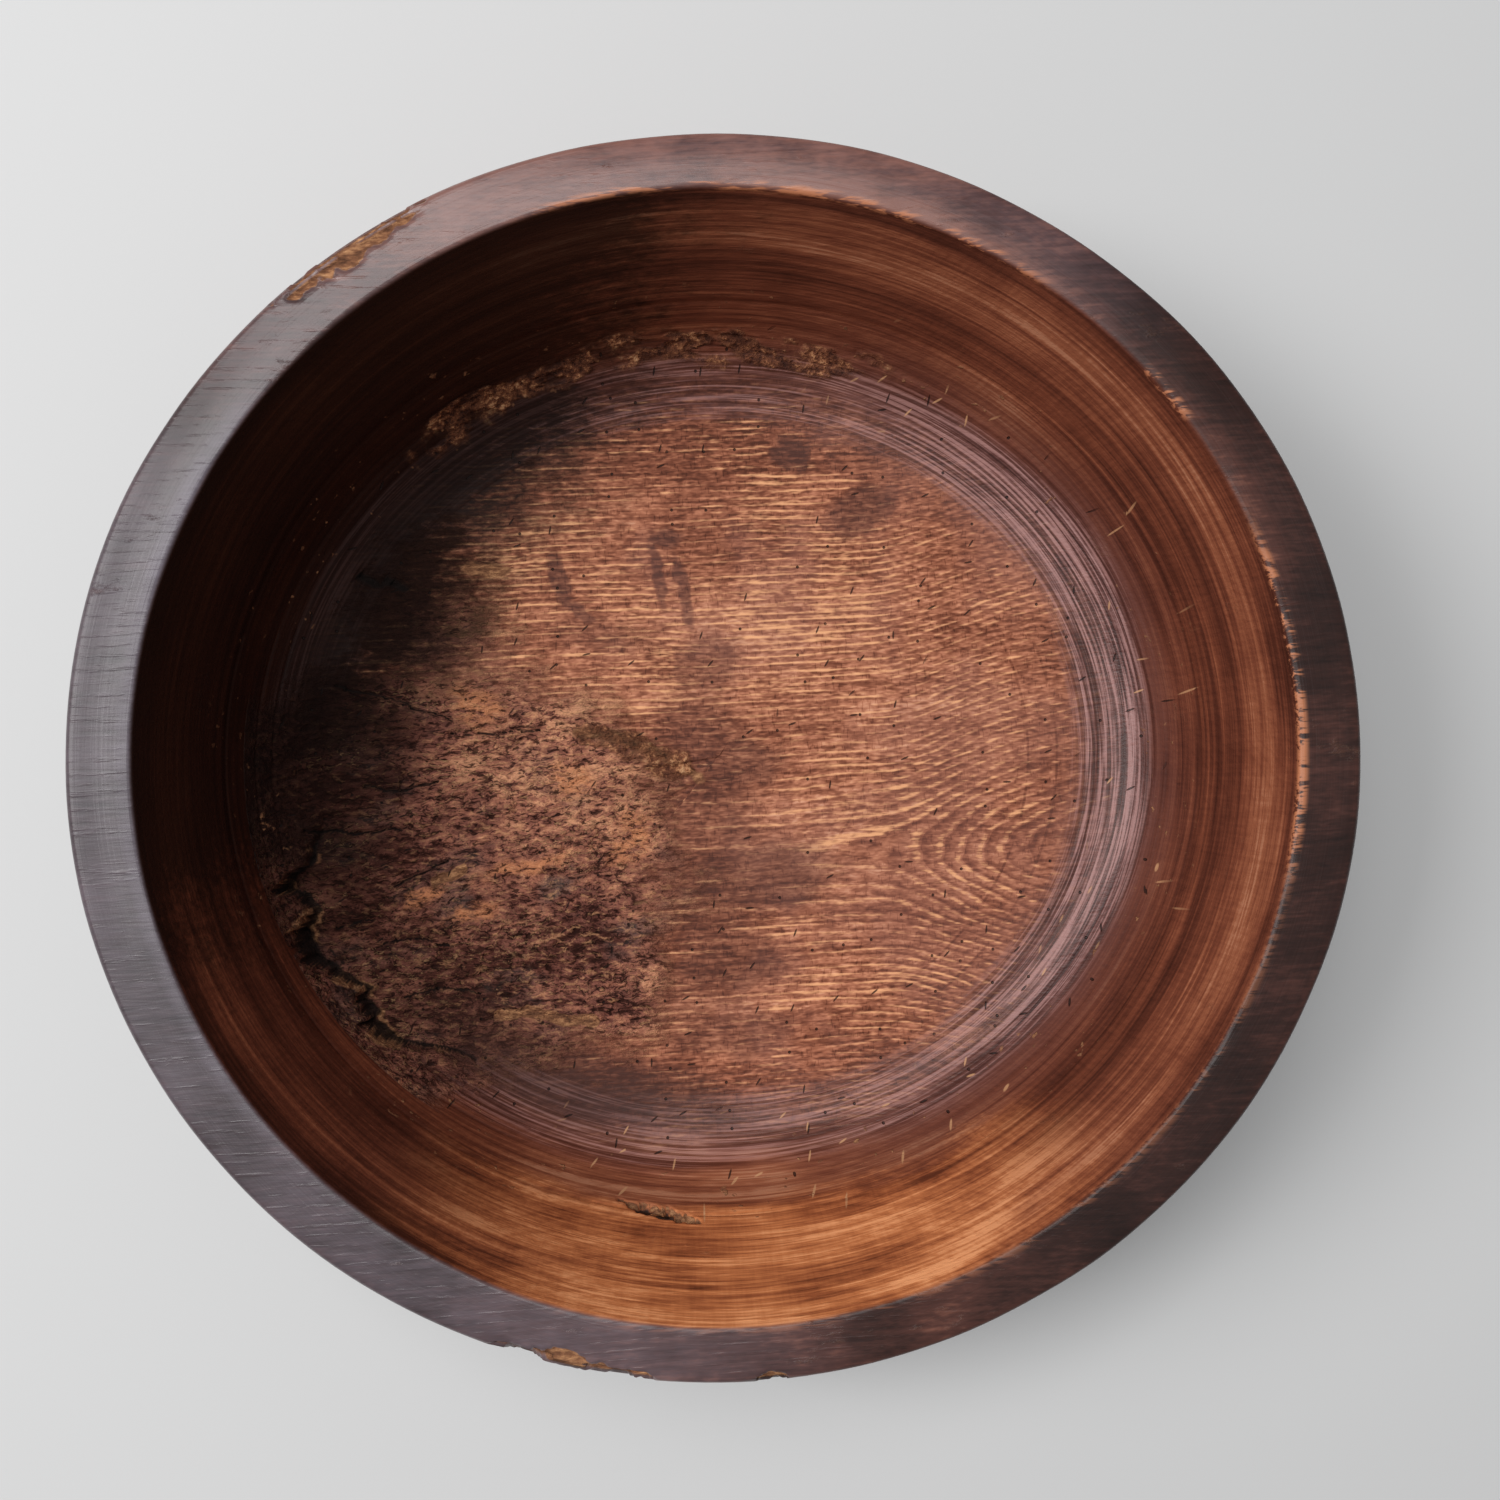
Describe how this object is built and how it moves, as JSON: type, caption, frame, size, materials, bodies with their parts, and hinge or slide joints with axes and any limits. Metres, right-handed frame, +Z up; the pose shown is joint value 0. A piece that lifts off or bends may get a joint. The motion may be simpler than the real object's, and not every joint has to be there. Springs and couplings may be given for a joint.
{
  "type": "wooden bowl",
  "caption": "Wide, deep turned wooden kneading bowl with a broad flat rim, steep walls and a flat floor, darkened by worn lacquer.",
  "frame": {"origin": "middle of the flat base, on the surface that the bowl stands on", "axes": "+Z up out of the mouth, +X along the grain, which is the longer way across the oval rim"},
  "size_m": [0.48, 0.4632, 0.13],
  "materials": {
    "lacquered_wood": "old dark brown lacquer, satin, worn through to orange wood on the floor and edges"
  },
  "bodies": {
    "root": {"bowl": "lacquered_wood"}
  },
  "joints": []
}
